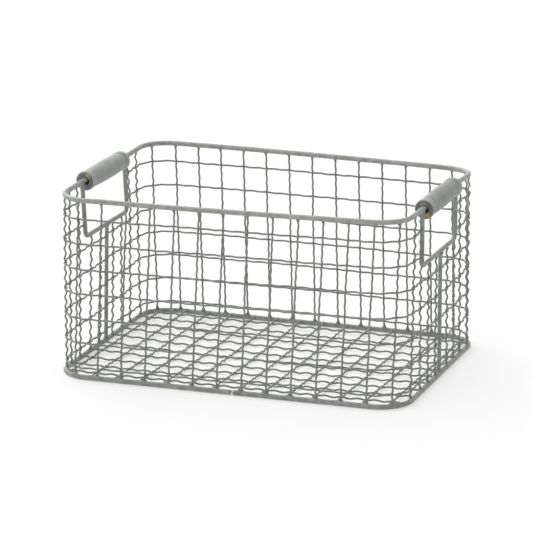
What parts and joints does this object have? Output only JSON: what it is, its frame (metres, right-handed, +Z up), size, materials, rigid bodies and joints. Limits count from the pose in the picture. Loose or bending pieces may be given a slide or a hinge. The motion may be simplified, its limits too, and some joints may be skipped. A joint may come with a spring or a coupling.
{
  "type": "wire locker basket",
  "caption": "Rectangular storage basket of woven crimped wire between a rod rim and a rod base ring, with a rod loop and a turned spinning grip at each end.",
  "frame": {"origin": "on the ground under the middle of the basket", "axes": "+X along the basket's length towards the right grip, +Y towards the back, +Z up"},
  "size_m": [0.371, 0.261, 0.1903],
  "materials": {
    "painted_wire": "sage grey paint, satin, worn",
    "painted_grip": "sage grey paint on turned wood, satin"
  },
  "bodies": {
    "frame": {"back_left_corner_upright": "painted_wire", "back_right_corner_uprights": "painted_wire", "back_uprights": "painted_wire", "back_weft_1": "painted_wire", "back_weft_2": "painted_wire", "back_weft_3": "painted_wire", "back_weft_4": "painted_wire", "back_weft_5": "painted_wire", "back_weft_6": "painted_wire", "back_weft_7": "painted_wire", "base_ring": "painted_wire", "floor_crosswise_wires": "painted_wire", "floor_lengthwise_wires": "painted_wire", "front_left_corner_uprights": "painted_wire", "front_right_corner_upright": "painted_wire", "front_uprights": "painted_wire", "front_weft_1": "painted_wire", "front_weft_2": "painted_wire", "front_weft_3": "painted_wire", "front_weft_4": "painted_wire", "front_weft_5": "painted_wire", "front_weft_6": "painted_wire", "front_weft_7": "painted_wire", "handle_loop_left": "painted_wire", "handle_loop_right": "painted_wire", "left_wall_uprights": "painted_wire", "right_wall_uprights": "painted_wire", "rim_rod": "painted_wire", "strut_left": "painted_wire", "strut_right": "painted_wire"},
    "left_grip": {"grip_left": "painted_grip"},
    "right_grip": {"grip_right": "painted_grip"}
  },
  "joints": [
    {"name": "left_grip_spin", "type": "hinge", "parent": "frame", "child": "left_grip", "pos_m": [-0.1755, 0, 0.18036], "axis": [0, 1, 0], "continuous": true},
    {"name": "right_grip_spin", "type": "hinge", "parent": "frame", "child": "right_grip", "pos_m": [0.1755, 0, 0.18036], "axis": [0, 1, 0], "continuous": true}
  ]
}
